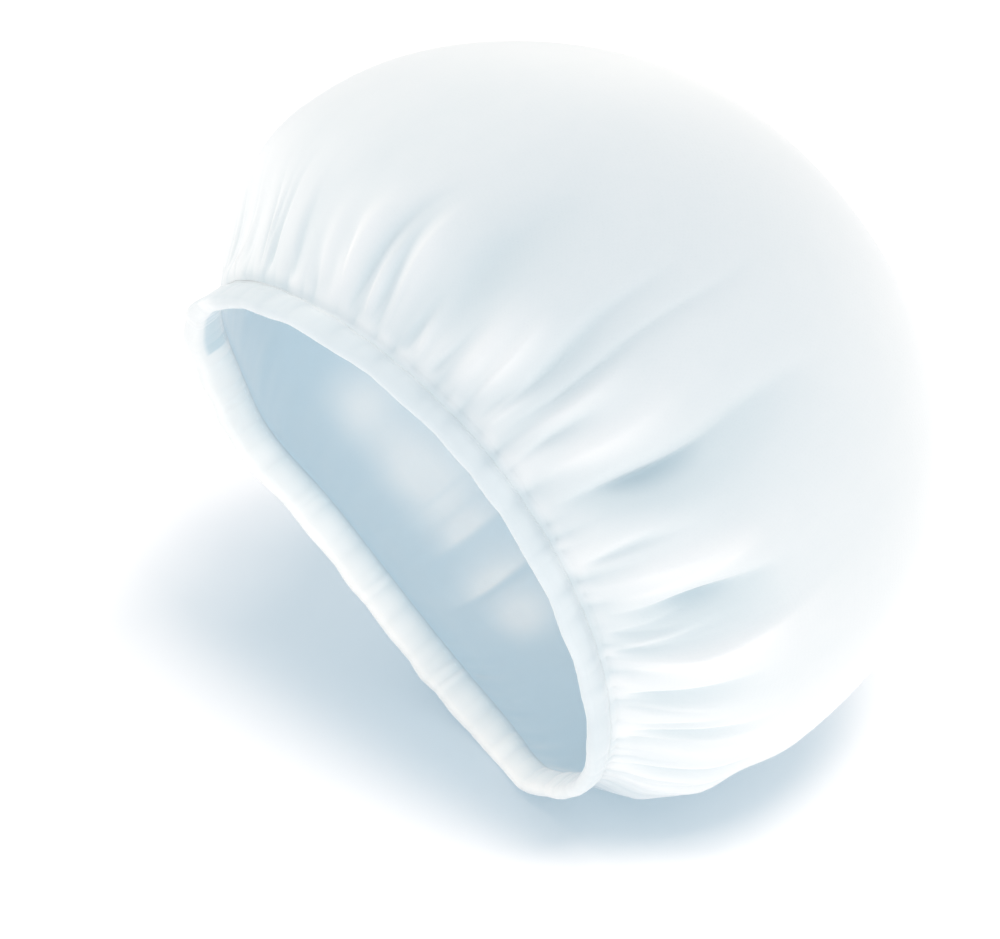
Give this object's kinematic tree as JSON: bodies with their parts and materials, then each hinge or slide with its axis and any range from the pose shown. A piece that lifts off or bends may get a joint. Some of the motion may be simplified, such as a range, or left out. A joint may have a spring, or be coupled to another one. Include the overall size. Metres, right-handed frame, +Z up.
{
  "type": "shampoo cap",
  "caption": "Round puffed cap of soft white non-woven cloth, gathered into a narrow elastic hem that holds it round the head.",
  "frame": {"origin": "middle of the cap's footprint as it lies, on the floor", "axes": "+Z up, -Y out of the opening and +Y toward the crown's top; the cap's own axis rises 21.5 degrees toward +Y"},
  "size_m": [0.2426, 0.2034, 0.224],
  "materials": {
    "crown_cloth": "matte soft non-woven",
    "hem_cloth": "matte soft non-woven, folded and gathered",
    "elastic_band": "matte, covered with thread"
  },
  "bodies": {
    "root": {"crown": "crown_cloth", "hem_casing": "hem_cloth", "elastic": "elastic_band"}
  },
  "joints": []
}
